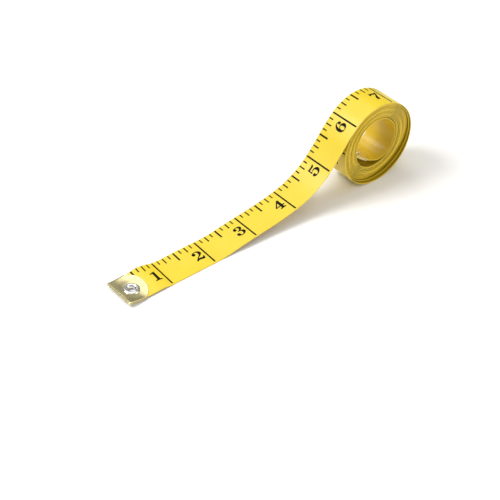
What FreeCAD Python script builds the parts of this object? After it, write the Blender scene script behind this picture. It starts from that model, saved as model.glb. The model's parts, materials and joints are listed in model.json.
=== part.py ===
import FreeCAD, Part
import math
import os
from FreeCAD import Vector as V

# Soft sewing tape measure, 60 inches long, standing on its coil with the first six
# inches rolled out.  All lengths are millimetres and all angles degrees.
# +X runs along the lead from the end clip to the coil, Y across the tape, Z up.

# ---- the tape -------------------------------------------------------------
inch = 25.4
tape_width = 18.0
tape_thickness = 0.45
scrim_thickness = 0.15

# ---- the coil -------------------------------------------------------------
turns = 12
eye_tight = 15.9          # coil centre to the innermost wound turn, where it is tight
eye_loose = 12.4          # the same on the opposite side, where the turns hang loose
gap_tight = 0.12          # air between two turns on the tight side
gap_loose = 0.49          # air between two turns on the loose side
leave_heading = 43.0      # slope of the tape where it leaves the coil
loop_slack = 0.6          # extra air outside the last free turn
foot_turn = 63.0          # how far the last turn bends before the inner clip
foot_clear = 0.12         # air between the inner clip and the turn it leans on

# ---- the lead -------------------------------------------------------------
lead_inches = 6
clip_heading = 4.0        # slope of the outer clip
# slope of the lead at 1, 1.5, 2 ... inches, clip side first
lead_headings = (-14.0, 4.0, -1.0, 10.0, 7.0, 9.0, 14.0, 31.0, 48.0, 54.0)
flat_marks = 3            # how many of those slopes belong to the part on the table
twist_mark = 2.5          # inches from the clip to the twisting joint
link_gap = 0.3            # bare tape between two neighbouring links

# ---- the end clips and eyelets ---------------------------------------------
clip_sheet = 0.35
clip_overhang = 0.3       # each side of the clip stands this far past the tape
clip_length = 14.5        # fold to the tip of the rounded end
clip_side = 9.0           # fold to where the rounding starts
clip_relief = 1.5         # tape kept straight beyond the clip
clip_bend = 24.0          # bend the coil has put in the inner clip
eyelet_reach = 6.3        # fold to the middle of the eyelet
eyelet_offset = -1.0      # eyelet is set this far off the middle of the tape
hole_radius = 2.05
barrel_wall = 0.35
ring_radius = 3.7
ring_height = 0.75
set_radius = 3.5
set_height = 0.4
petals = 6
petal_slot = 0.4

half = tape_thickness / 2
core = scrim_thickness / 2
shell = half + clip_sheet
clip_width = tape_width + 2 * clip_overhang


def walk(x, z, heading, pieces):
    """Tangent arcs, each (length, turn); a turn of nought is a straight run."""
    spans = []
    s = 0.0
    for length, turn in pieces:
        bend = math.radians(turn) / length
        spans.append((s, s + length, x, z, heading, bend))
        (x, z), heading = after(spans[-1], s + length)
        s += length
    return spans


def after(span, s):
    """Point and heading at the distance s along one span."""
    s0, s1, x, z, heading, bend = span
    run = s - s0
    a = math.radians(heading)
    if abs(bend) < 1e-9:
        return (x + run * math.cos(a), z + run * math.sin(a)), heading
    b = a + bend * run
    moved = ((math.sin(b) - math.sin(a)) / bend, (math.cos(a) - math.cos(b)) / bend)
    return (x + moved[0], z + moved[1]), math.degrees(b)


def at(path, s):
    """Point and heading at the distance s along a path."""
    for span in path:
        if s <= span[1] or span is path[-1]:
            return after(span, s)


def beside(path, s, off):
    """A point the distance off above the middle of the tape."""
    (x, z), heading = at(path, s)
    a = math.radians(heading)
    return V(x - off * math.sin(a), -tape_width / 2, z + off * math.cos(a))


def run_edges(path, s0, s1, off):
    """The edges of a line parallel to the tape, from s0 to s1."""
    edges = []
    for a, b, x, z, heading, bend in path:
        low = max(a, s0)
        high = min(b, s1)
        if high - low < 1e-6:
            continue
        one, two = beside(path, low + 1e-9, off), beside(path, high, off)
        if abs(bend) < 1e-9:
            edges.append(Part.LineSegment(one, two).toShape())
        else:
            middle = beside(path, (low + high) / 2, off)
            edges.append(Part.Arc(one, middle, two).toShape())
    return edges


def solid_of(edges, width):
    """A closed outline in the side view, pulled across the tape."""
    wire = Part.Wire(Part.__sortEdges__(edges))
    body = Part.Face(wire).extrude(V(0, width, 0))
    body.translate(V(0, (tape_width - width) / 2, 0))
    return body


def strip(path, s0, s1, low, high):
    """One layer of the tape between two distances from its middle."""
    top = run_edges(path, s0, s1, high)
    bottom = run_edges(path, s0, s1, low)
    ends = [
        Part.LineSegment(beside(path, s0, low), beside(path, s0, high)).toShape(),
        Part.LineSegment(beside(path, s1, low), beside(path, s1, high)).toShape(),
    ]
    return solid_of(top + bottom + ends, tape_width)


def layers(path, s0, s1):
    """The three layers of a length of tape, as (name, solid)."""
    return [
        ("scrim", strip(path, s0, s1, -core, core)),
        ("inch_film", strip(path, s0, s1, core, half)),
        ("cm_film", strip(path, s0, s1, -half, -core)),
    ]


def local_frame(path, s, side):
    """Middle point, direction into the tape and upward normal at s."""
    (x, z), heading = at(path, s)
    a = math.radians(heading)
    along = V(math.cos(a), 0, math.sin(a)) * side
    up = V(-math.sin(a), 0, math.cos(a))
    return V(x, 0, z), along, up


def clip(path, end, side):
    """Sheet folded round the tape's end; side is +1 if the tape runs on from it."""
    s0, s1 = sorted((end, end + side * clip_length))
    edges = []
    for off in (half, shell, -half, -shell):
        edges += run_edges(path, s0, s1, off)
    far = end + side * clip_length
    for sign in (1, -1):
        one, two = beside(path, far, sign * half), beside(path, far, sign * shell)
        edges.append(Part.LineSegment(one, two).toShape())
    middle, along, up = local_frame(path, end, side)
    middle.y = -tape_width / 2
    for radius in (half, shell):
        arc = Part.Arc(middle + up * radius, middle - along * radius, middle - up * radius)
        edges.append(arc.toShape())
    return solid_of(edges, 1.2 * clip_width).common(clip_outline(path, end, side))


def clip_outline(path, end, side):
    """A block with the clip's outline: square at the fold, rounded inside."""
    middle, along, up = local_frame(path, end + side * clip_length / 2, side)
    tip = clip_length / 2
    square = clip_side - clip_length / 2
    edge = clip_width / 2
    back = -clip_length

    def point(u, y):
        return middle + along * u + V(0, y, 0) - up * clip_length / 2

    edges = [
        Part.LineSegment(point(back, -edge), point(square, -edge)).toShape(),
        Part.Arc(point(square, -edge), point(tip, 0), point(square, edge)).toShape(),
        Part.LineSegment(point(square, edge), point(back, edge)).toShape(),
        Part.LineSegment(point(back, edge), point(back, -edge)).toShape(),
    ]
    return Part.Face(Part.Wire(edges)).extrude(up * clip_length)


def eyelet_axis(path, end, side):
    """Middle and axis of the eyelet, the axis pointing out of the inch face."""
    middle, along, up = local_frame(path, end + side * eyelet_reach, side)
    return middle + V(0, eyelet_offset, 0), up


def placed(shape, middle, up):
    """A shape built round the Z axis, moved to a middle point and an axis."""
    turned = shape.copy()
    turned.Placement = FreeCAD.Placement(middle, FreeCAD.Rotation(V(0, 0, 1), up))
    return turned


def eyelet(middle, up, bow):
    """Hollow rivet: rolled ring on the inch face, split flange on the other."""
    barrel = hole_radius + barrel_wall
    lower = shell + bow
    start = V(hole_radius, 0, shell + ring_height * 0.45)
    crown = V((hole_radius + ring_radius) / 2, 0, shell + ring_height)
    rim = V(ring_radius, 0, shell)
    corners = [
        rim,
        V(barrel, 0, shell),
        V(barrel, 0, -lower),
        V(set_radius, 0, -lower),
        V(set_radius, 0, -lower - set_height / 2),
        V(barrel, 0, -lower - set_height),
        V(hole_radius, 0, -lower - set_height * 0.7),
        start,
    ]
    edges = [Part.Arc(start, crown, rim).toShape()]
    for one, two in zip(corners, corners[1:]):
        edges.append(Part.LineSegment(one, two).toShape())
    body = Part.Face(Part.Wire(edges)).revolve(V(0, 0, 0), V(0, 0, 1), 360)
    for k in range(petals):
        slot = Part.makeBox(set_radius, petal_slot, set_height * 1.5)
        slot.translate(V(barrel + 0.1, -petal_slot / 2, -lower - set_height * 1.4))
        slot.rotate(V(0, 0, 0), V(0, 0, 1), 360 * (k + 0.5) / petals)
        body = body.cut(slot)
    return placed(body, middle, up)


def bore(middle, up):
    """The hole for an eyelet's barrel."""
    drill = Part.makeCylinder(hole_radius + barrel_wall, 8 * shell, V(0, 0, -4 * shell))
    return placed(drill, middle, up)


# ---- the coil's path --------------------------------------------------------
# Half turns of falling radius.  The joins lie on one line through the coil's middle,
# square to the lead: u on the lead's side, where it is tight, and v opposite.
pitch_tight = tape_thickness + gap_tight
pitch_loose = tape_thickness + gap_loose


def u(j):
    return eye_tight + (turns - j) * pitch_tight


def v(j):
    return eye_loose + (turns - 1 - j) * pitch_loose


wound = []
for j in range(turns):
    for radius in ((u(j) + v(j)) / 2, (v(j) + u(j + 1)) / 2):
        wound.append((math.pi * radius, -180.0))
loop_radius = (u(turns) + v(turns) - loop_slack) / 2
wall_radius = (v(turns - 1) + u(turns)) / 2
wound.append((math.pi * loop_radius, -180.0))

ray = math.radians(leave_heading + 90)
leave = (u(0) * math.cos(ray), u(0) * math.sin(ray))
wall_shift = (u(turns) - v(turns - 1)) / 2
wall = (wall_shift * math.cos(ray), wall_shift * math.sin(ray))


def coil_path(foot_radius):
    foot = math.radians(foot_turn) * foot_radius
    pieces = wound + [(foot, -foot_turn), (clip_length + clip_relief, -clip_bend)]
    return walk(leave[0], leave[1], leave_heading, pieces)


# The foot's radius is found that lets the clip's folded end just lean on the wall.
small, large = 0.3 * wall_radius, 1.5 * wall_radius
for step in range(60):
    guess = (small + large) / 2
    (x, z), heading = at(coil_path(guess), coil_path(guess)[-1][1])
    if math.hypot(x - wall[0], z - wall[1]) + shell + foot_clear < wall_radius - half:
        small = guess
    else:
        large = guess
coil_raw = coil_path(guess)
coil_end = coil_raw[-1][1]

# Lowest point of the outer turn: it lies in its lower half.
low_shift = (u(1) - v(0)) / 2
coil_low = low_shift * math.sin(ray) - (v(0) + u(1)) / 2 - half


# ---- the lead's path --------------------------------------------------------
flat_run = clip_length + clip_relief


def lead_pieces(rise):
    """Arcs from the clip to the coil; rise makes the climb steeper or gentler."""
    slopes = [clip_heading]
    for k, slope in enumerate(lead_headings):
        slopes.append(slope if k < flat_marks else slope * rise)
    slopes.append(leave_heading)
    pieces = [(flat_run, 0.0), (inch - flat_run, slopes[1] - slopes[0])]
    for before, then in zip(slopes[1:], slopes[2:]):
        pieces.append((inch / 2, then - before))
    return pieces


def lead_lowest(path):
    """Lowest point of the lead, its clip and its eyelet."""
    steps = int(lead_inches * inch / 0.25)
    lows = []
    for k in range(steps + 1):
        s = k * 0.25
        (x, z), heading = at(path, s)
        cover = shell if s <= clip_length else half
        if abs(s - eyelet_reach) <= set_radius:
            cover = shell + set_height
        lows.append(z - cover * math.cos(math.radians(heading)))
    return min(lows)


def lead_path(rise):
    """The lead, moved so that it ends on the coil; height counts from the table."""
    path = walk(0, 0, clip_heading, lead_pieces(rise))
    (x, z), heading = at(path, path[-1][1])
    down = leave[1] - coil_low - z
    moved = []
    for s0, s1, px, pz, slope, bend in path:
        moved.append((s0, s1, px + leave[0] - x, pz + down, slope, bend))
    return moved


gentle, steep = 0.2, 1.8
for step in range(60):
    rise = (gentle + steep) / 2
    if lead_lowest(lead_path(rise)) > 0:
        gentle = rise
    else:
        steep = rise
lead = lead_path(rise)

# ---- one frame: middle of the length at x = 0, table at z = 0 ----------------
first = at(lead, 0)[0][0] - shell
last = (u(0) - v(0)) / 2 * math.cos(ray) + (u(0) + v(0)) / 2 + half
shift = -(first + last) / 2
lead = [(a, b, x + shift, z, h, k) for a, b, x, z, h, k in lead]
coil = [(a, b, x + shift, z - coil_low, h, k) for a, b, x, z, h, k in coil_raw]

# ---- the nodes --------------------------------------------------------------
nodes = {}
outer_middle, outer_up = eyelet_axis(lead, 0, 1)
inner_middle, inner_up = eyelet_axis(coil, coil_end, -1)
outer_bore = bore(outer_middle, outer_up)
inner_bore = bore(inner_middle, inner_up)
bend_radius = (clip_length + clip_relief) / math.radians(clip_bend)
inner_bow = set_radius ** 2 / (2 * bend_radius)

for name, solid in layers(coil, link_gap / 2, coil_end):
    nodes["coil_" + name] = solid.cut(inner_bore)
nodes["inner_clip"] = clip(coil, coil_end, -1).cut(inner_bore)
nodes["inner_eyelet"] = eyelet(inner_middle, inner_up, inner_bow)

marks = sorted([float(k) for k in range(lead_inches + 1)] + [twist_mark])
for k in range(len(marks) - 1):
    start = marks[k] * inch + (link_gap / 2 if k else 0)
    stop = marks[k + 1] * inch - link_gap / 2
    for name, solid in layers(lead, start, stop):
        if k == 0:
            solid = solid.cut(outer_bore)
        nodes["lead_%d_%s" % (k + 1, name)] = solid
nodes["outer_clip"] = clip(lead, 0, 1).cut(outer_bore)
nodes["outer_eyelet"] = eyelet(outer_middle, outer_up, 0)

os.makedirs("parts", exist_ok=True)
for name, shape in nodes.items():
    if shape.ShapeType == "Compound" and len(shape.Solids) == 1:
        shape = shape.Solids[0]
    shape.exportStep("parts/%s.step" % name)
    print(name, shape.ShapeType, "valid", shape.isValid(), "solids", len(shape.Solids),
          "volume %.3f" % shape.Volume)

print("rise %.4f, foot radius %.2f" % (rise, guess))
print("coil tape %.1f mm, lead %.1f mm" % (coil_end, lead_inches * inch))
for mark in marks[1:]:
    (x, z), heading = at(lead, mark * inch)
    print("joint at %.1f in: x %.4f z %.4f heading %.3f" % (mark, x, z, heading))
for name, middle, up in (("outer", outer_middle, outer_up), ("inner", inner_middle, inner_up)):
    print(name, "eyelet", [round(c, 4) for c in middle], [round(c, 6) for c in up])
print("coil middle x %.3f z %.3f" % (shift, -coil_low), "ends", first + shift, last + shift)
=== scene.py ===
# %% [markdown]
# # A soft tape measure, rolled up with its first six inches laid out
#
# The real object is a tailor's tape: a ribbon of glass-fibre cloth with yellow vinyl on
# both sides, 60 inches of scale on one face and 150 centimetres on the other. Each end
# is folded into a sheet brass clip, and a hollow eyelet holds clip and ribbon together.
# The ribbon is rolled into a coil that stands on its rim.
#
# The imported model is loaded first. It is the frame: every piece made below takes its
# place from it, and the coil's length, the clips and the eyelets ride on its bodies.

# %% Load the frame
import json
import math
import bpy
import numpy as np
from mathutils import Matrix, Vector


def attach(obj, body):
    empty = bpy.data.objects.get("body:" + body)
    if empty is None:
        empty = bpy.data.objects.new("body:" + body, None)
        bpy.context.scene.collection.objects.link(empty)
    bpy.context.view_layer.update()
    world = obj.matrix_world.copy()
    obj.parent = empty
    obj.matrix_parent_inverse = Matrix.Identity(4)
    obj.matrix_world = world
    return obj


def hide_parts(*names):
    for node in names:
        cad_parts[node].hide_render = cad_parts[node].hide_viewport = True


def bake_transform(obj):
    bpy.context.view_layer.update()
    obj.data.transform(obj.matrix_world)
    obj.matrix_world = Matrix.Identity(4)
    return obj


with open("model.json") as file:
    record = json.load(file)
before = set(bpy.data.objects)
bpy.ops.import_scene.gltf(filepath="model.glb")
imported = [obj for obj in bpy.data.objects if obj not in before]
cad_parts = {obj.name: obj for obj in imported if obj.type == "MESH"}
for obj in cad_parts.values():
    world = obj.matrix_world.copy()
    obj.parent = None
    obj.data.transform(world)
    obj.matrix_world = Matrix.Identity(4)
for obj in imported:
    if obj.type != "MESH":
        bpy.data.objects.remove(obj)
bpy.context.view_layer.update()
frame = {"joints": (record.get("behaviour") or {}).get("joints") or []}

# %% [markdown]
# ## Sizes
#
# Lengths in the scene are metres, but a tape is thought of in millimetres and inches, so
# both are named once. The tape's sizes are those of the frame.

# %% Sizes
MM = 0.001
INCH = 25.4 * MM
WIDTH = 18.0 * MM
TAPE = 0.45 * MM            # thickness of the whole tape
SCRIM = 0.15 * MM           # thickness of the cloth inside
FILM = (TAPE - SCRIM) / 2
HALF = TAPE / 2
SHEET = 0.35 * MM           # thickness of the clips' brass
LEAD = 6 * INCH             # the part that is rolled out
print("film %.2f mm on each side of the cloth" % (FILM / MM))

# %% [markdown]
# ## Handling objects
#
# Operators work on whatever is selected, and the loaded model arrives selected. So one
# helper leaves a single object selected, and another applies a modifier at once.

# %% Selecting and applying
def only(*objects):
    """These objects are selected and nothing else; the first is the active one."""
    bpy.ops.object.select_all(action="DESELECT")
    for obj in objects:
        obj.select_set(True)
    bpy.context.view_layer.objects.active = objects[0]


def finish_with(obj, kind, **settings):
    """Adds a modifier to a piece and applies it."""
    only(obj)
    modifier = obj.modifiers.new(kind.title(), kind)
    for key, value in settings.items():
        setattr(modifier, key, value)
    bpy.ops.object.modifier_apply(modifier=modifier.name)


def points_of(obj):
    """The vertices of a mesh as an array, one row each."""
    flat = np.empty(3 * len(obj.data.vertices))
    obj.data.vertices.foreach_get("co", flat)
    return flat.reshape(-1, 3)


def move_points(obj, places):
    """Gives a mesh new vertex places."""
    obj.data.vertices.foreach_set("co", np.asarray(places).ravel())
    obj.data.update()


def faces_in(obj):
    """Prints how much a piece is made of."""
    print(obj.name, len(obj.data.polygons), "faces")


# %% [markdown]
# ## The line that the tape follows
#
# Seen from the side, the tape is one line of arcs that run smoothly into each other: a
# nearly flat lead, a climb on to the coil, twelve loose turns, and a last stretch that
# lies across the eye of the coil. It is written as lengths and turning angles, as the
# frame's own source writes it, so the two agree everywhere.

# %% The line's numbers
TURNS = 12
EYE_TIGHT, EYE_LOOSE = 15.9 * MM, 12.4 * MM
PITCH_TIGHT, PITCH_LOOSE = TAPE + 0.12 * MM, TAPE + 0.49 * MM
LEAVE = math.radians(43)            # slope of the tape where it leaves the coil
LOOP_SLACK = 0.6 * MM
FOOT_RADIUS, FOOT_TURN = 7.94 * MM, math.radians(63)
CLIP_LENGTH, CLIP_SIDE = 14.5 * MM, 9.0 * MM
CLIP_RUN = CLIP_LENGTH + 1.5 * MM
CLIP_BEND = math.radians(24)
RISE = 0.9810
SLOPES = [4, -14, 4, -1] + [RISE * slope for slope in (10, 7, 9, 14, 31, 48, 54)] + [43]


def tight(turn):
    """Distance from the coil's middle on the side towards the lead."""
    return EYE_TIGHT + (TURNS - turn) * PITCH_TIGHT


def loose(turn):
    """The same on the opposite side, where the turns hang apart."""
    return EYE_LOOSE + (TURNS - 1 - turn) * PITCH_LOOSE


# %% Lay the line
def line_pieces():
    """(length, turn) of every arc from the outer clip to the inner one."""
    slopes = [math.radians(slope) for slope in SLOPES]
    pieces = [(CLIP_RUN, 0.0), (INCH - CLIP_RUN, slopes[1] - slopes[0])]
    for before, then in zip(slopes[1:], slopes[2:]):
        pieces.append((INCH / 2, then - before))
    for turn in range(TURNS):
        for radius in (tight(turn) + loose(turn), loose(turn) + tight(turn + 1)):
            pieces.append((math.pi * radius / 2, -math.pi))
    loop = (tight(TURNS) + loose(TURNS) - LOOP_SLACK) / 2
    pieces.append((math.pi * loop, -math.pi))
    pieces.append((FOOT_TURN * FOOT_RADIUS, -FOOT_TURN))
    pieces.append((CLIP_RUN, -CLIP_BEND))
    return pieces


def lay(pieces, x, z, heading):
    """Columns: start of arc, x, z, heading and bend; the last row is the far end."""
    rows = []
    s = 0.0
    for length, turn in pieces:
        bend = turn / length
        rows.append((s, x, z, heading, bend))
        if abs(turn) < 1e-9:
            x += length * math.cos(heading)
            z += length * math.sin(heading)
        else:
            x += (math.sin(heading + turn) - math.sin(heading)) / bend
            z += (math.cos(heading) - math.cos(heading + turn)) / bend
        heading += turn
        s += length
    rows.append((s, x, z, heading, 0.0))
    return np.array(rows)


first_joint = next(j for j in frame["joints"] if j["name"] == "bend_at_6_in")
line = lay(line_pieces(), 0.0, 0.0, math.radians(SLOPES[0]))
row = np.searchsorted(line[:, 0], LEAD - 1e-7)
line[:, 1] += first_joint["pos_m"][0] - line[row, 1]
line[:, 2] += first_joint["pos_m"][2] - line[row, 2]
END = line[-1, 0]
print("tape %.1f mm long, %.1f mm of it on the coil" % (END / MM, (END - LEAD) / MM))


# %% A place on the tape
def middle_line(s):
    """x, z and heading of the line at the distances s."""
    k = (np.searchsorted(line[:, 0], s, side="right") - 1).clip(0, len(line) - 1)
    start, x, z, a, bend = line[k].T
    run = s - start
    b = a + bend * run
    straight = np.abs(bend) < 1e-9
    safe = np.where(straight, 1.0, bend)
    dx = np.where(straight, run * np.cos(a), (np.sin(b) - np.sin(a)) / safe)
    dz = np.where(straight, run * np.sin(a), (np.cos(a) - np.cos(b)) / safe)
    return x + dx, z + dz, b


for joint in frame["joints"]:
    print(joint["name"], "at", [round(v / MM, 2) for v in joint["pos_m"]])
x, z, heading = middle_line(np.arange(1, 7) * INCH)
print("the line's inches:", [(round(a / MM, 2), round(b / MM, 2)) for a, b in zip(x, z)])

# %% [markdown]
# ## How the tape lies
#
# A soft ribbon is never as true as its line. The turns of a hand-rolled coil slide past
# each other, most of all on the lower right, which lets the edge of each inner face
# show. Beside its clip the lead twists: the near edge lies on the table, the far edge
# humps up, and the hump draws the clip in by a millimetre. `place` takes flat points
# (distance along, across, above the middle) to where they lie.

# %% Place flat points
# how far each turn stands behind the outermost on the lower right, in millimetres, and
# how far it stands back all round
SLID = (0.0, 0.25, 2.4, 2.9, 3.0, 2.7, 2.0, 1.1, 0.7, 0.85, 0.65, 0.8, 0.6, 0.6)
BACK = (0.0, 0.12, 0.55, 0.48, 0.10, 0.0, 0.42, 0.52, 0.12, 0.0, 0.42, 0.36, 0.0, 0.0)
# at each distance from the clip's fold in millimetres: the lift of the tape's middle,
# the lift of its far edge over its middle, and the far edge's own curl
LIE = [
    (0.0, 0.85, -0.45, 0.0),
    (3.0, 0.30, -0.25, 0.0),
    (6.0, -0.08, 0.05, 0.0),
    (9.0, -0.42, 0.38, 0.0),
    (14.5, -0.55, 0.75, 0.5),
    (16.5, -0.58, 0.80, 0.6),
    (20.0, -0.68, 0.75, 0.1),
    (25.4, -0.90, 0.38, 0.0),
    (28.6, -0.48, 0.55, 0.0),
    (35.0, -0.05, 0.65, 0.0),
    (44.0, -0.15, 0.38, 0.0),
    (52.0, -0.15, 0.30, 0.0),
    (62.0, -0.05, 0.10, 0.0),
    (75.0, 0.00, 0.00, 0.0),
]
# the same distances, and how far the clip end is drawn in there
DRAWN_IN = [(0.0, 1.15), (9.5, 0.95), (16.0, 0.65), (22.0, 0.3), (30.0, 0.0)]
SLIPS_AT = math.radians(290)        # where on the coil the turns slide furthest
CLIP_RESTS = 0.60 * MM              # the lowest the tape's middle can lie in its clip
TAPE_RESTS = HALF + 0.02 * MM       # and outside it


def smooth(s, table, column, reach=1.8):
    """A column of a table in millimetres, read between its rows and softened."""
    rows = np.array(table)
    nearby = [np.interp(s / MM + shift, rows[:, 0], rows[:, column])
              for shift in np.linspace(-reach, reach, 7)]
    return MM * np.mean(nearby, axis=0)


def drift(s, heading):
    """How far the turns have slid across, away from the front."""
    turn = np.where(s > LEAD, (LEAVE - heading) / (2 * math.pi), 0.0).clip(0)
    low_right = 0.5 + 0.5 * np.cos(heading + math.pi / 2 - SLIPS_AT)
    count = np.arange(len(SLID))
    slid = np.interp(turn, count, SLID) * low_right ** 2.2
    return MM * (slid + np.interp(turn, count, BACK))


def place(s, y, off):
    """Flat places on the tape, as arrays, carried to where the tape lies."""
    s, y, off = np.broadcast_arrays(s, y, off)
    x, z, heading = middle_line(s)
    far = y / (WIDTH / 2)
    lift = (smooth(s, LIE, 1) + far * smooth(s, LIE, 2)
            + far.clip(0) ** 2 * smooth(s, LIE, 3) * (s < LEAD))
    rests = np.where(s < CLIP_LENGTH + 0.5 * MM, CLIP_RESTS, TAPE_RESTS)
    middle = np.where(s < LEAD, np.maximum(z + lift, rests), z)
    return np.stack([
        x + smooth(s, DRAWN_IN, 1) - off * np.sin(heading),
        y + drift(s, heading),
        middle + off * np.cos(heading),
    ], axis=1)


# %% [markdown]
# ## Strips of cloth and film
#
# A ribbon could be an extruded block, but the real one is laid flat, coated, printed and
# only then rolled up, and so is this one: a flat grid is cut to size, its flat
# measurements are kept as a UV map for the weave, the points are carried on to the
# line, and Solidify gives it its thickness.

# %% Cut and roll a strip
STEP = 0.8 * MM             # length of one face along the tape


def flat_grid(name, s0, s1, width=WIDTH, step=STEP, rows=6):
    """A flat grid from s0 to s1, with its flat millimetres as UV map."""
    bpy.ops.object.select_all(action="DESELECT")
    columns = max(2, round((s1 - s0) / step))
    bpy.ops.mesh.primitive_grid_add(x_subdivisions=columns, y_subdivisions=rows, size=1)
    obj = bpy.context.object
    obj.name = obj.data.name = name
    flat = points_of(obj)
    move_points(obj, flat * [s1 - s0, width, 0] + [(s0 + s1) / 2, 0, 0])
    keep_flat_map(obj)
    return obj


def keep_flat_map(obj):
    """Writes every vertex's flat place, in millimetres, into the UV map."""
    mesh = obj.data
    layer = mesh.uv_layers.active or mesh.uv_layers.new(name="flat")
    corner = np.empty(len(mesh.loops), dtype=int)
    mesh.loops.foreach_get("vertex_index", corner)
    layer.uv.foreach_set("vector", (points_of(obj)[corner, :2] / MM).ravel())


def roll_up(obj, off):
    """Carries a flat mesh on to the line, the distance off above the tape's middle."""
    flat = points_of(obj)
    move_points(obj, place(flat[:, 0], flat[:, 1], off + flat[:, 2]))


def strip(name, s0, s1, off, thickness):
    """One layer of the tape."""
    obj = flat_grid(name, s0, s1)
    roll_up(obj, off)
    finish_with(obj, "SOLIDIFY", thickness=thickness, offset=0.0)
    only(obj)
    bpy.ops.object.shade_smooth_by_angle(angle=math.radians(40))
    return obj


# %% [markdown]
# ## Where the ribbon is divided
#
# The frame's lead is seven links. A ribbon has no pins, so each length of it here spans
# one hinge, and two lengths meet in the middle of a link.

# %% Ribbon lengths
# start and end in inches, the bodies towards the coil and the clip, the hinge's mark,
# and how far the bend reaches from it to either side in millimetres
RIBBONS = [
    ("ribbon_1", 0.0, 1.5, "lead_2", "lead_1", 1.0, 5.0, 9.5),
    ("ribbon_2", 1.5, 2.25, "lead_3", "lead_2", 2.0, 3.4, 7.6),
    ("ribbon_3", 2.25, 2.75, "lead_4", "lead_3", 2.5, 5.8, 5.8),
    ("ribbon_4", 2.75, 3.5, "lead_5", "lead_4", 3.0, 5.8, 5.8),
    ("ribbon_5", 3.5, 4.5, "lead_6", "lead_5", 4.0, 9.0, 9.0),
    ("ribbon_6", 4.5, 5.5, "lead_7", "lead_6", 5.0, 9.0, 9.0),
    ("ribbon_7", 5.5, 6.5, "coil", "lead_7", 6.0, 1.2, 10.5),
    ("ribbon_8", 6.5, END / INCH, "coil", "coil", None, 0.0, 0.0),
]
LAYERS = [
    ("scrim", 0.0, SCRIM),
    ("inch_film", (SCRIM + FILM) / 2, FILM),
    ("cm_film", -(SCRIM + FILM) / 2, FILM),
]
layers = {}
for ribbon, start, stop, *_ in RIBBONS:
    for layer, off, thickness in LAYERS:
        name = ribbon + "_" + layer
        layers[name] = strip(name, start * INCH, stop * INCH, off, thickness)
print(len(layers), "strips;", len(layers["ribbon_8_scrim"].data.polygons),
      "faces in the longest")

# %% [markdown]
# ## The print: strokes
#
# The scales are printed ink, a film a few hundredths of a millimetre thick. An image
# would blur close to, so the ink is real geometry: each mark is drawn flat, joined with
# the others, cut where the ribbon is divided, and rolled up with the tape.
#
# The inch face has its ticks on the far edge only: eighths, quarters and halves of
# growing length, and a full line at each inch.

# %% Inch strokes
INK = 0.035 * MM
FAR = WIDTH / 2 - 0.25 * MM         # where the strokes start
NEAR = -WIDTH / 2 + 0.85 * MM       # where the full lines end
INCHES = 60                         # length of the printed scale
# length and thickness of each tick, in millimetres
EIGHTH, QUARTER, MIDDLE = (2.7, 0.66), (3.8, 0.70), (5.9, 0.92)
TICKS = [EIGHTH, QUARTER, EIGHTH, MIDDLE, EIGHTH, QUARTER, EIGHTH]


def stroke(s, y0, y1, thick):
    """One flat bar across the tape."""
    bpy.ops.mesh.primitive_plane_add(size=1)
    obj = bpy.context.object
    move_points(obj, points_of(obj) * [thick, y1 - y0, 0] + [s, (y0 + y1) / 2, 0])
    return obj


def joined(name, parts):
    """Several objects made one."""
    only(*parts)
    bpy.ops.object.join()
    obj = bpy.context.object
    obj.name = obj.data.name = name
    return obj


def repeated(obj, count, step):
    """Copies a drawing along the tape, once every step."""
    finish_with(obj, "ARRAY", count=count, use_relative_offset=False,
                use_constant_offset=True, constant_offset_displace=(step, 0, 0))
    return obj


bpy.ops.object.select_all(action="DESELECT")
one_inch = [stroke(INCH, NEAR, FAR, 0.85 * MM)]
for k, (length, thick) in enumerate(TICKS):
    one_inch.append(stroke((k + 1) * INCH / 8, FAR - length * MM, FAR, thick * MM))
inch_strokes = repeated(joined("inch_strokes", one_inch), INCHES, INCH)
faces_in(inch_strokes)

# %% [markdown]
# The centimetre face has a tick for every millimetre on both edges, a longer one at
# each half centimetre and a line right across at each centimetre.

# %% Centimetre strokes
CM = 10 * MM
CENTIMETRES = 152                   # as far as the inches go
EDGE = WIDTH / 2 - 0.3 * MM
CM_TICK = 0.40 * MM                 # thickness of the ticks
one_cm = [stroke(CM, -EDGE, EDGE, 0.45 * MM)]
for tick in range(1, 10):
    length = 4.0 * MM if tick == 5 else 3.1 * MM
    one_cm.append(stroke(tick * MM, EDGE - length, EDGE, CM_TICK))
    one_cm.append(stroke(tick * MM, -EDGE, length - EDGE, CM_TICK))
cm_strokes = repeated(joined("cm_strokes", one_cm), CENTIMETRES, CM)
faces_in(cm_strokes)

# %% [markdown]
# ## The print: numerals
#
# The inch numerals are a heavy letter with slab feet and ball ends, as wood type has.
# Each is drawn once as a closed curve on a field 100 high. Points with a 1 after them
# are corners, and the curve runs smoothly through the others. Nine is six turned over.

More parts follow.
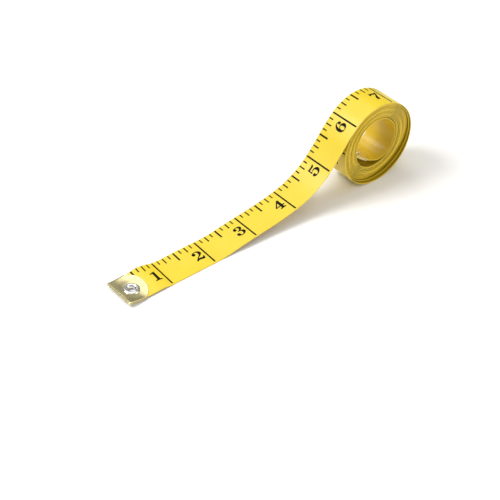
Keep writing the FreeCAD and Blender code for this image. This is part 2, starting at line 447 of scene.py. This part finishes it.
# %% Draw the numerals
SIX = [
    [(69, 76), (64, 91), (42, 101), (15, 87), (1, 48), (12, 10), (39, -1), (66, 9),
     (76, 32), (67, 54), (46, 62), (33, 58), (24, 49, 1), (27, 76), (40, 93), (49, 90),
     (44, 80), (48, 69), (59, 65)],
    [(39, 54), (49, 48), (53, 31), (49, 12), (39, 6), (28, 13), (24, 31), (29, 48)],
]
NUMERALS = {
    "0": [
        [(38, 101), (65, 86), (76, 50), (65, 14), (38, -1), (11, 14), (0, 50), (11, 86)],
        [(38, 94), (49, 82), (53, 50), (49, 18), (38, 6), (27, 18), (23, 50), (27, 82)],
    ],
    "1": [
        [(14, 0, 1), (68, 0, 1), (68, 8, 1), (53, 13, 1), (53, 100, 1), (45, 100, 1),
         (12, 87, 1), (12, 79, 1), (31, 82, 1), (31, 13, 1), (14, 8, 1)],
    ],
    "2": [
        [(3, 0, 1), (3, 9, 1), (26, 34), (44, 52), (52, 72), (47, 88), (35, 94),
         (27, 90), (33, 80), (29, 68), (17, 63), (6, 70), (7, 87), (36, 101), (64, 93),
         (75, 73), (65, 53), (42, 37), (28, 23, 1), (42, 25), (60, 20), (66, 30, 1),
         (75, 30, 1), (70, 2), (58, -2), (40, 4), (22, 6), (11, 0, 1)],
    ],
    "3": [
        [(7, 79), (13, 94), (37, 101), (62, 94), (71, 76), (63, 60), (51, 53, 1),
         (67, 45), (76, 27), (65, 7), (37, -1), (12, 6), (3, 23), (10, 35), (22, 35),
         (30, 25), (27, 13), (38, 6), (49, 12), (53, 28), (47, 44), (29, 49, 1),
         (29, 57, 1), (45, 62), (49, 77), (45, 90), (36, 94), (28, 90), (32, 80),
         (28, 69), (17, 66)],
    ],
    "4": [
        [(47, 100, 1), (60, 100, 1), (60, 38, 1), (76, 38, 1), (76, 28, 1), (60, 28, 1),
         (60, 13, 1), (73, 8, 1), (73, 0, 1), (23, 0, 1), (23, 8, 1), (38, 13, 1),
         (38, 28, 1), (0, 28, 1), (0, 37, 1)],
        [(38, 72, 1), (38, 38, 1), (13, 38, 1)],
    ],
    "5": [
        [(10, 99, 1), (38, 95), (66, 101, 1), (68, 96), (60, 82), (42, 78), (19, 81, 1),
         (18, 58, 1), (42, 65), (66, 56), (76, 32), (64, 7), (36, -1), (11, 6), (3, 22),
         (9, 34), (20, 35), (29, 26), (26, 12), (36, 6), (48, 12), (53, 32), (47, 52),
         (33, 57), (22, 53), (17, 46, 1), (9, 46, 1)],
    ],
    "6": SIX,
    "7": [
        [(5, 101, 1), (14, 94), (38, 97), (58, 94), (68, 101, 1), (76, 101, 1),
         (70, 72), (54, 45), (50, 0, 1), (23, 0, 1), (29, 32), (57, 76, 1), (42, 75),
         (22, 79), (14, 67, 1), (5, 67, 1)],
    ],
    "8": [
        [(38, 101), (62, 93), (70, 76), (63, 61), (55, 55), (69, 45), (76, 26), (64, 7),
         (38, -1), (11, 7), (0, 25), (8, 41), (19, 50), (8, 61), (5, 77), (14, 93)],
        [(38, 95), (50, 89), (53, 77), (48, 65), (42, 61), (28, 69), (23, 80), (28, 91)],
        [(34, 45), (22, 37), (18, 24), (24, 11), (38, 5), (53, 10), (57, 20), (50, 34)],
    ],
    "9": [[(76 - p[0], 100 - p[1], *p[2:]) for p in contour] for contour in SIX],
}


def drawn(name, contours):
    """A numeral's curves as a flat mesh, cut into narrow strips so that it can bend."""
    curve = bpy.data.curves.new(name, "CURVE")
    curve.dimensions, curve.fill_mode, curve.resolution_u = "2D", "BOTH", 2
    for contour in contours:
        spline = curve.splines.new("BEZIER")
        spline.bezier_points.add(len(contour) - 1)
        spline.use_cyclic_u = True
        for point, (x, y, *corner) in zip(spline.bezier_points, contour):
            point.co = (x, y, 0)
            kind = "VECTOR" if corner else "AUTO"
            point.handle_left_type = point.handle_right_type = kind
    obj = bpy.data.objects.new(name, curve)
    bpy.context.scene.collection.objects.link(obj)
    return as_strips(obj, 20)


def as_strips(obj, gap):
    """Turns a curve or a text into a mesh and cuts it across every gap units."""
    only(obj)
    bpy.ops.object.convert(target="MESH")
    low, high = points_of(obj)[:, 0].min(), points_of(obj)[:, 0].max()
    bpy.ops.object.mode_set(mode="EDIT")
    for x in np.arange(low + gap / 2, high, gap):
        bpy.ops.mesh.select_all(action="SELECT")
        bpy.ops.mesh.bisect(plane_co=(x, 0, 0), plane_no=(1, 0, 0))
    bpy.ops.object.mode_set(mode="OBJECT")
    return obj


numerals = {digit: drawn("numeral_" + digit, c) for digit, c in NUMERALS.items()}
print("faces in each numeral:", [len(o.data.polygons) for o in numerals.values()])


# %% Set the inch numbers
def stamp(master, scale, s, y):
    """A copy of a drawing, scaled and put down flat on the tape."""
    obj = bpy.data.objects.new(master.name, master.data.copy())
    bpy.context.scene.collection.objects.link(obj)
    size = Matrix.Diagonal((scale[0], scale[1], 1, 1))
    obj.data.transform(Matrix.Translation((s, y, 0)) @ size)
    return obj


NUMERAL_HEIGHT = 6.3 * MM
NUMERAL_FOOT = -3.3 * MM
# width of one unit of the drawing, and middle of the number before its line, in
# millimetres, by how many digits the number has
SET = {1: (0.070, 4.15), 2: (0.056, 5.4)}
inch_numbers = []
for inch in range(1, INCHES + 1):
    digits = str(inch)
    wide, before = (MM * value for value in SET[len(digits)])
    pitch = 82 * wide
    middle = inch * INCH - before
    for k, digit in enumerate(digits):
        left = middle + (k - len(digits) / 2) * pitch + 3 * wide
        size = (wide, NUMERAL_HEIGHT / 100)
        inch_numbers.append(stamp(numerals[digit], size, left, NUMERAL_FOOT))
inch_print = joined("inch_print", [inch_strokes] + inch_numbers)
faces_in(inch_print)

# %% [markdown]
# The centimetre numbers are a plain letter that stands upright when the tape hangs by
# its clip, so they are turned a quarter turn. Blender's built-in letter serves.

# %% Set the centimetre numbers
def plain(digit):
    """One digit of the built-in letter, about a unit high, as a flat mesh."""
    bpy.ops.object.text_add()
    obj = bpy.context.object
    obj.name = "plain_" + digit
    obj.data.body = digit
    obj.data.resolution_u = 2
    only(obj)
    bpy.ops.object.convert(target="MESH")
    flat = points_of(obj)
    low, high = flat.min(axis=0), flat.max(axis=0)
    move_points(obj, (flat - [low[0], low[1], 0]) / (high[1] - low[1]))
    bpy.ops.object.mode_set(mode="EDIT")
    for y in (0.25, 0.5, 0.75):
        bpy.ops.mesh.select_all(action="SELECT")
        bpy.ops.mesh.bisect(plane_co=(0, y, 0), plane_no=(0, 1, 0))
    bpy.ops.object.mode_set(mode="OBJECT")
    return obj


plain_digits = {digit: plain(digit) for digit in "0123456789"}
CM_HEIGHT = 3.9 * MM
cm_numbers = []
for cm in range(1, CENTIMETRES + 1):
    digits = str(cm)
    pitch = 3.0 * MM if cm < 100 else 2.7 * MM
    for k, digit in enumerate(digits):
        left = (k - len(digits) / 2) * pitch + 0.25 * MM
        # on the underside the reader's left is the far edge of the tape
        number = stamp(plain_digits[digit], (CM_HEIGHT, CM_HEIGHT), 0, 0)
        flat = points_of(number)
        s = cm * CM - 1.1 * MM - flat[:, 1]
        y = left + flat[:, 0]
        move_points(number, np.stack([s, -y, flat[:, 2]], axis=1))
        cm_numbers.append(number)
cm_print = joined("cm_print", [cm_strokes] + cm_numbers)
faces_in(cm_print)
for master in [*numerals.values(), *plain_digits.values()]:
    bpy.data.objects.remove(master)


# %% [markdown]
# Both prints are now one long flat drawing each. They are divided where the ribbon is,
# by the middle of each face, then rolled up just outside the films. The first marks lie
# under the clip, and the last 86 mm of the tape have none.

# %% Cut and roll the print
PRINT_START = 8.2 * MM


def outward(obj):
    """Makes every face of a closed mesh point out of it."""
    only(obj)
    bpy.ops.object.mode_set(mode="EDIT")
    bpy.ops.mesh.select_all(action="SELECT")
    bpy.ops.mesh.normals_make_consistent(inside=False)
    bpy.ops.object.mode_set(mode="OBJECT")


def cut_between(obj, name, s0, s1):
    """Takes the faces whose middles lie from s0 to s1 out of a flat drawing."""
    middles = np.array([p.center.x for p in obj.data.polygons])
    only(obj)
    bpy.ops.object.mode_set(mode="EDIT")
    bpy.ops.mesh.select_all(action="DESELECT")
    bpy.ops.mesh.select_mode(type="FACE")
    bpy.ops.object.mode_set(mode="OBJECT")
    obj.data.polygons.foreach_set("select", (middles >= s0) & (middles < s1))
    bpy.ops.object.mode_set(mode="EDIT")
    bpy.ops.mesh.separate(type="SELECTED")
    bpy.ops.object.mode_set(mode="OBJECT")
    part = next(o for o in bpy.context.selected_objects if o is not obj)
    part.name = part.data.name = name
    return part


prints = {}
for drawing, side in ((inch_print, 1), (cm_print, -1)):
    whole = drawing.name
    for ribbon, start, stop, *_ in RIBBONS:
        from_s = max(start * INCH, PRINT_START)
        part = cut_between(drawing, ribbon + "_" + whole, from_s, stop * INCH)
        roll_up(part, side * (HALF + INK / 2 - 0.005 * MM))
        finish_with(part, "SOLIDIFY", thickness=INK, offset=0.0)
        outward(part)
        # where the tape lies on the table, its ink is pressed flat
        move_points(part, np.maximum(points_of(part), [-1, -1, 0]))
        prints[part.name] = part
    bpy.data.objects.remove(drawing)
print(len(prints), "printed pieces,", sum(len(o.data.polygons) for o in prints.values()),
      "faces")

# %% [markdown]
# ## The end clips
#
# Each clip is one piece of sheet brass, blanked with two round ends and folded over the
# end of the tape. It is made in that order: a flat grid with its ends rounded, folded
# by bending its points round the tape's end, given its thickness, drilled for the
# eyelet and broken along its edges.

# %% Fold the clips
CLIP_WIDTH = WIDTH + 0.6 * MM
FOLD = HALF + SHEET / 2             # radius of the fold, to the middle of the sheet
FOLD_ARC = math.pi * FOLD / 2
REACH, OFFSET = 6.3 * MM, -1.0 * MM     # the eyelet's place on the clip


def rounded_end(y):
    """Length of the clip's blank, from the fold to the round end, at the distance y."""
    deep = CLIP_LENGTH - CLIP_SIDE
    radius = ((CLIP_WIDTH / 2) ** 2 + deep ** 2) / (2 * deep)
    return CLIP_LENGTH - radius + np.sqrt(radius ** 2 - y ** 2)


def dished(s, y):
    """Setting the eyelet presses a shallow dish into the plate, and it cups a little."""
    away = np.hypot(s - REACH, y - OFFSET)
    cupped = 0.10 * MM * (y / (CLIP_WIDTH / 2)) ** 2
    dish = 0.07 * MM * np.exp(-((away - 4.6 * MM) / (1.5 * MM)) ** 2)
    return dish - cupped * s / CLIP_LENGTH


def fold(blank, end, side):
    """Bends a flat blank round the tape's end; side is +1 if the tape runs on from it."""
    t, y, h = points_of(blank).T
    kept = 3 * MM
    beyond = (np.abs(t) - FOLD_ARC).clip(0)
    stretch = (rounded_end(y) - kept) / (CLIP_LENGTH - kept)
    beyond = np.where(beyond > kept, kept + (beyond - kept) * stretch, beyond)
    angle = (t / FOLD).clip(-math.pi / 2, math.pi / 2)
    radius = FOLD + h + dished(beyond, y) * (beyond > 0)
    points = place(end + side * beyond, y, radius * np.sin(angle))
    heading = middle_line(np.array([end]))[2][0]
    back = radius * np.cos(angle) * side
    points[:, 0] -= back * math.cos(heading)
    points[:, 2] -= back * math.sin(heading)
    move_points(blank, points)


def eyelet_place(end, side):
    """Middle and axis of an eyelet; the axis points out of the inch face."""
    s = end + side * REACH
    middle, on, over = place(np.array([s, s + MM, s]), np.array([OFFSET, OFFSET, OFFSET + MM]),
                             np.zeros(3))
    return Vector(middle), Vector(np.cross(on - middle, over - middle)).normalized()


def drill(obj, end, side):
    """Makes the hole for the eyelet's barrel."""
    middle, axis = eyelet_place(end, side)
    bpy.ops.object.select_all(action="DESELECT")
    bpy.ops.mesh.primitive_cylinder_add(vertices=48, radius=2.4 * MM, depth=4 * MM)
    cutter = bpy.context.object
    turn = Vector((0, 0, 1)).rotation_difference(axis).to_matrix().to_4x4()
    cutter.data.transform(Matrix.Translation(middle) @ turn)
    finish_with(obj, "BOOLEAN", operation="DIFFERENCE", object=cutter, solver="EXACT")
    bpy.data.objects.remove(cutter)


def clip(name, end, side):
    length = 2 * (FOLD_ARC + CLIP_LENGTH)
    obj = flat_grid(name, -length / 2, length / 2, CLIP_WIDTH, 0.25 * MM, 28)
    fold(obj, end, side)
    finish_with(obj, "SOLIDIFY", thickness=SHEET, offset=0.0, use_even_offset=True)
    outward(obj)
    drill(obj, end, side)
    finish_with(obj, "BEVEL", width=0.07 * MM, segments=2, limit_method="ANGLE",
                angle_limit=math.radians(50))
    only(obj)
    bpy.ops.object.shade_smooth_by_angle(angle=math.radians(45))
    faces_in(obj)
    return obj


ENDS = {"outer": (0.0, 1), "inner": (END, -1)}
clips = {which: clip(which + "_clip_plate", *ENDS[which]) for which in ENDS}
for ribbon, which in (("ribbon_1", "outer"), ("ribbon_8", "inner")):
    for layer, off, thickness in LAYERS:
        drill(layers[ribbon + "_" + layer], *ENDS[which])

# %% [markdown]
# ## The eyelets
#
# A hollow eyelet is a little tube of plated sheet. One end is rolled over into a ring,
# and setting it bursts the other end into six petals that fold flat. Its wall is grown
# ring by ring from one circle, by extruding and resizing, as it would be by hand. Six
# narrow faces are then taken out of the burst end, and Solidify and a subdivision
# finish it.

# %% Make the eyelets
SHELL = HALF + SHEET
FACES_ROUND = 48
PETALS = 6
# radius and height of each ring of the wall, in millimetres; ring side first
WALL = [(3.95, 0.04), (3.88, 0.28), (3.58, 0.52), (3.10, 0.66), (2.62, 0.58), (2.32, 0.30),
        (2.20, 0.00)]
BURST = [(2.20, 0.02), (2.30, -0.10), (2.60, -0.17), (3.00, -0.20), (3.38, -0.17)]


def eyelet(name, end, side, bow):
    """bow lowers the petals where the clip under them is bent."""
    rings = [(r, h + SHELL / MM) for r, h in WALL]
    rings += [(r, h - SHELL / MM - bow) for r, h in BURST]
    bpy.ops.object.select_all(action="DESELECT")
    radius, height = rings[0]
    bpy.ops.mesh.primitive_circle_add(vertices=FACES_ROUND, radius=radius,
                                      location=(0, 0, height))
    obj = bpy.context.object
    obj.name = obj.data.name = name
    bpy.ops.object.transform_apply(location=True)
    bpy.ops.object.mode_set(mode="EDIT")
    bpy.ops.mesh.select_mode(type="VERT")
    bpy.ops.mesh.select_all(action="SELECT")
    for r, h in rings[1:]:
        bpy.ops.mesh.extrude_region_move(TRANSFORM_OT_translate={"value": (0, 0, h - height)})
        bpy.ops.transform.resize(value=(r / radius, r / radius, 1), center_override=(0, 0, h))
        radius, height = r, h
    bpy.ops.mesh.select_mode(type="FACE")
    bpy.ops.object.mode_set(mode="OBJECT")
    between = []
    for face in obj.data.polygons:
        x, y, h = face.center
        step = math.degrees(math.atan2(y, x)) % (360 / PETALS)
        low = h < -SHELL / MM - bow and math.hypot(x, y) > 2.3
        between.append(low and step < 360 / FACES_ROUND)
    obj.data.polygons.foreach_set("select", between)
    bpy.ops.object.mode_set(mode="EDIT")
    bpy.ops.mesh.delete(type="FACE")
    bpy.ops.object.mode_set(mode="OBJECT")
    finish_with(obj, "SOLIDIFY", thickness=0.3, offset=0.0, use_even_offset=True)
    outward(obj)
    finish_with(obj, "SUBSURF", levels=1, render_levels=1)
    middle, axis = eyelet_place(end, side)
    turn = Vector((0, 0, 1)).rotation_difference(axis).to_matrix().to_4x4()
    obj.data.transform(Matrix.Translation(middle) @ turn @ Matrix.Scale(MM, 4))
    only(obj)
    bpy.ops.object.shade_smooth_by_angle(angle=math.radians(60))
    faces_in(obj)
    return obj


eyelets = {
    "outer": eyelet("outer_eyelet_wall", *ENDS["outer"], 0.0),
    "inner": eyelet("inner_eyelet_wall", *ENDS["inner"], 0.16),
}

# %% [markdown]
# ## Finishes
#
# Colours are given as the screen's hex values, and one function turns them into the
# linear numbers that light needs. One more adds a node with its settings and links.

# %% Colour and node helpers
def colour(code):
    """sRGB hex to linear RGBA."""
    parts = [int(code[k:k + 2], 16) / 255 for k in (1, 3, 5)]
    linear = [c / 12.92 if c <= 0.04045 else ((c + 0.055) / 1.055) ** 2.4 for c in parts]
    return (*linear, 1.0)


def add_node(tree, kind, inputs=None, **settings):
    """A node with its settings; an input is a value, or another node's socket."""
    node = tree.nodes.new("ShaderNode" + kind)
    for key, value in settings.items():
        setattr(node, key, value)
    for key, value in (inputs or {}).items():
        if isinstance(value, bpy.types.NodeSocket):
            tree.links.new(value, node.inputs[key])
        else:
            node.inputs[key].default_value = value
    return node


def finish_named(name):
    """An empty material: its tree and its shader."""
    material = bpy.data.materials.new(name)
    material.use_nodes = True
    return material, material.node_tree, material.node_tree.nodes["Principled BSDF"]


def wear(obj, material):
    """Gives a piece its one material."""
    obj.data.materials.clear()
    obj.data.materials.append(material)


# %% [markdown]
# **Yellow vinyl.** Soft PVC, coloured through and pressed on to the cloth between
# polished rollers. IOR 1.53, satin. The cloth's threads, two to the millimetre, just
# show through as a soft emboss, and the colour drifts very slightly along the tape.

# %% Yellow vinyl
def vinyl(name, pale, deep, roughness):
    material, tree, shader = finish_named(name)
    flat = add_node(tree, "UVMap")
    patch = add_node(tree, "TexNoise", {"Vector": flat.outputs["UV"], "Scale": 0.09,
                                        "Detail": 3.0})
    mix = add_node(tree, "MixRGB", {"Fac": patch.outputs["Fac"], "Color1": colour(deep),
                                    "Color2": colour(pale)})
    tree.links.new(mix.outputs["Color"], shader.inputs["Base Color"])
    # threads every half millimetre, both ways
    along = add_node(tree, "TexWave", {"Vector": flat.outputs["UV"], "Scale": 0.314},
                     bands_direction="X")
    across = add_node(tree, "TexWave", {"Vector": flat.outputs["UV"], "Scale": 0.314},
                      bands_direction="Y")
    weave = add_node(tree, "Math", {0: along.outputs["Fac"], 1: across.outputs["Fac"]},
                     operation="ADD")
    ripple = add_node(tree, "TexNoise", {"Vector": flat.outputs["UV"], "Scale": 0.35})
    height = add_node(tree, "Math", {0: ripple.outputs["Fac"], 1: 5.0,
                                     2: weave.outputs["Value"]}, operation="MULTIPLY_ADD")
    bump = add_node(tree, "Bump", {"Height": height.outputs["Value"], "Strength": 0.35,
                                   "Distance": 0.00001})
    tree.links.new(bump.outputs["Normal"], shader.inputs["Normal"])
    shader.inputs["Roughness"].default_value = roughness
    shader.inputs["IOR"].default_value = 1.53
    return material


inch_vinyl = vinyl("yellow_pvc_inch_face", "#E8CE2C", "#E2C420", 0.38)
# the centimetre face is the same yellow vinyl, made darker and redder than the inch face:
# painted shade for the gaps between the turns and the crescent in the eye, where this face
# shows
cm_vinyl_darkened_as_painted_shade = vinyl("yellow_pvc_centimetre_face", "#DDBE26", "#D4B01A", 0.34)

# %% [markdown]
# ** Glass-fibre scrim.** The cloth shows only at the slit edges, as a duller, sandy line
# of cut yarn ends soaked with vinyl; its yarn colours are also darkened as painted shade
# for the coil's side face. Rough, with a grain of half a millimetre.
# of cut yarn ends soaked with vinyl. Rough, with a grain of half a millimetre.

# %% Scrim
scrim, tree, shader = finish_named("glass_fibre_scrim_soaked_with_pvc")
flat = add_node(tree, "UVMap")
yarn = add_node(tree, "TexWave", {"Vector": flat.outputs["UV"], "Scale": 0.314},
                bands_direction="X")
# the darker yarn colour is partly the cut yarn ends and partly painted shade, darkening the
# coil's side face where the slit edges show
mix = add_node(tree, "MixRGB", {"Fac": yarn.outputs["Fac"], "Color1": colour("#B08E24"),
                                "Color2": colour("#D9B73C")})
tree.links.new(mix.outputs["Color"], shader.inputs["Base Color"])
shader.inputs["Roughness"].default_value = 0.75

# %% [markdown]
# **Black vinyl ink.** Screen-printed, nearly black with a warm brown cast, a little
# uneven where the screen laid it thinner.

# %% Ink
ink, tree, shader = finish_named("black_screen_print_ink")
spot = add_node(tree, "TexCoord")
grain = add_node(tree, "TexNoise", {"Vector": spot.outputs["Object"], "Scale": 900.0})
mix = add_node(tree, "MixRGB", {"Fac": grain.outputs["Fac"], "Color1": colour("#0C0703"),
                                "Color2": colour("#140D05")})
tree.links.new(mix.outputs["Color"], shader.inputs["Base Color"])
shader.inputs["Roughness"].default_value = 0.7
shader.inputs["IOR"].default_value = 1.45
shader.inputs["Specular IOR Level"].default_value = 0.2

# %% [markdown]
# **Polished brass.** Thin rolled sheet, bright, with the fine lines of the roller along
# the fold and faint handling marks. A metal keeps the default IOR.

# %% Brass
brass, tree, shader = finish_named("polished_rolled_brass")
spot = add_node(tree, "TexCoord")
lines = add_node(tree, "Mapping", {"Vector": spot.outputs["Object"],
                                   "Scale": (5000.0, 260.0, 5000.0)})
rolled = add_node(tree, "TexNoise", {"Vector": lines.outputs["Vector"], "Scale": 1.0,
                                     "Detail": 4.0})
ramp = add_node(tree, "MapRange", {"Value": rolled.outputs["Fac"], "To Min": 0.14,
                                   "To Max": 0.30})
tree.links.new(ramp.outputs["Result"], shader.inputs["Roughness"])
bump = add_node(tree, "Bump", {"Height": rolled.outputs["Fac"], "Strength": 0.5,
                               "Distance": 0.00001})
tree.links.new(bump.outputs["Normal"], shader.inputs["Normal"])
shader.inputs["Base Color"].default_value = colour("#DED39E")
shader.inputs["Metallic"].default_value = 1.0

# %% [markdown]
# **Nickel plate.** The eyelets are bright nickel over brass: cooler, smoother, with a
# slight orange-peel from the rolling of the ring.

# %% Nickel
nickel, tree, shader = finish_named("bright_nickel_plate")
spot = add_node(tree, "TexCoord")
peel = add_node(tree, "TexNoise", {"Vector": spot.outputs["Object"], "Scale": 1400.0})
bump = add_node(tree, "Bump", {"Height": peel.outputs["Fac"], "Strength": 0.2,
                               "Distance": 0.00001})
tree.links.new(bump.outputs["Normal"], shader.inputs["Normal"])
shader.inputs["Base Color"].default_value = colour("#E9E7E2")
shader.inputs["Metallic"].default_value = 1.0
shader.inputs["Roughness"].default_value = 0.2

# %% [markdown]
# ## Finishes, and the pieces on bodies
#
# Every piece gets its finish, and the frame's own cloth, films, clips and eyelets are
# hidden where these pieces take their place. The coil's length, the clips and the eyelets
# ride on their bodies; the lengths of the lead stay where they were laid.

# %% Finish, hide and ride
FINISHES = {"scrim": scrim, "inch_film": inch_vinyl, "cm_film": cm_vinyl_darkened_as_painted_shade,
            "inch_print": ink, "cm_print": ink}

for number, (ribbon, start, stop, coilward, clipward, mark, into, out) in enumerate(RIBBONS):
    pieces = {kind: layers.get(ribbon + "_" + kind) or prints[ribbon + "_" + kind]
              for kind in FINISHES}
    node = "coil" if coilward == clipward else "lead_%d" % (number + 1)
    for kind, piece in pieces.items():
        wear(piece, FINISHES[kind])
        if kind in ("scrim", "inch_film", "cm_film"):
            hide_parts(node + "_" + kind)
        if coilward == clipward:
            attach(piece, coilward)
            continue
        ends = np.array([mark * INCH + into * MM, mark * INCH - out * MM])
        x, z, heading = middle_line(ends)
        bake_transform(piece)
    cloth = pieces.pop("scrim")

for which, body in (("outer", "lead_1"), ("inner", "coil")):
    for piece, material, slot, node in (
            (clips[which], brass, "brass_plate", which + "_clip"),
            (eyelets[which], nickel, "nickel_eyelet", which + "_eyelet")):
        wear(piece, material)
        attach(piece, body)
        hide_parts(node)

# %% [markdown]
# ## Floor, light and camera
#
# A plain white floor and soft light. The key stands behind on the left, so the shadows
# fall to the right and under the lead. A big box overhead and one low on the right fill
# them. The last one, behind the clip, is what its brass reflects.

# %% Floor
bpy.ops.object.select_all(action="DESELECT")
bpy.ops.mesh.primitive_plane_add(size=6.0)
floor = bpy.context.object
floor.name = "floor"
paper, tree, shader = finish_named("white_paper")
shader.inputs["Base Color"].default_value = colour("#F7F6F4")
shader.inputs["Roughness"].default_value = 0.9
wear(floor, paper)

# %% Light
world = bpy.data.worlds.new("studio")
bpy.context.scene.world = world
world.use_nodes = True
world.node_tree.nodes["Background"].inputs["Color"].default_value = colour("#FFFFFF")
world.node_tree.nodes["Background"].inputs["Strength"].default_value = 0.27


def soft_box(name, place_at, target, size, power):
    """A square area light that faces a point."""
    lamp = bpy.data.lights.new(name, "AREA")
    lamp.shape, lamp.size, lamp.energy = "SQUARE", size, power
    obj = bpy.data.objects.new(name, lamp)
    bpy.context.scene.collection.objects.link(obj)
    away = Vector(place_at) - Vector(target)
    obj.matrix_world = (Matrix.Translation(place_at)
                        @ away.to_track_quat("Z", "Y").to_matrix().to_4x4())
    return obj


soft_box("key", (-0.45, 0.32, 0.72), (0.03, 0, 0.02), 0.40, 5.8)
soft_box("top", (0.0, -0.1, 1.2), (0.0, 0, 0.0), 1.4, 5.2)
soft_box("front", (0.48, -0.62, 0.30), (0.05, 0, 0.02), 0.5, 3.0)
soft_box("back", (0.158, 0.432, 0.75), (-0.085, 0, 0.0), 0.48, 1.15)

# %% Camera
# A long lens, looking down at forty degrees from the left front.
lens = bpy.data.cameras.new("camera")
lens.lens, lens.sensor_width = 87.99, 36.0
camera = bpy.data.objects.new("camera", lens)
bpy.context.scene.collection.objects.link(camera)
right = Vector((0.77927, -0.626682, -0.002851))
up = Vector((0.404155, 0.499074, 0.76654))
back = right.cross(up)
axes = Matrix((right, up, back)).transposed().to_4x4()
camera.matrix_world = Matrix.Translation((-0.301715, -0.36446, 0.378551)) @ axes
bpy.context.scene.camera = camera
bpy.context.scene.view_settings.view_transform = "Standard"
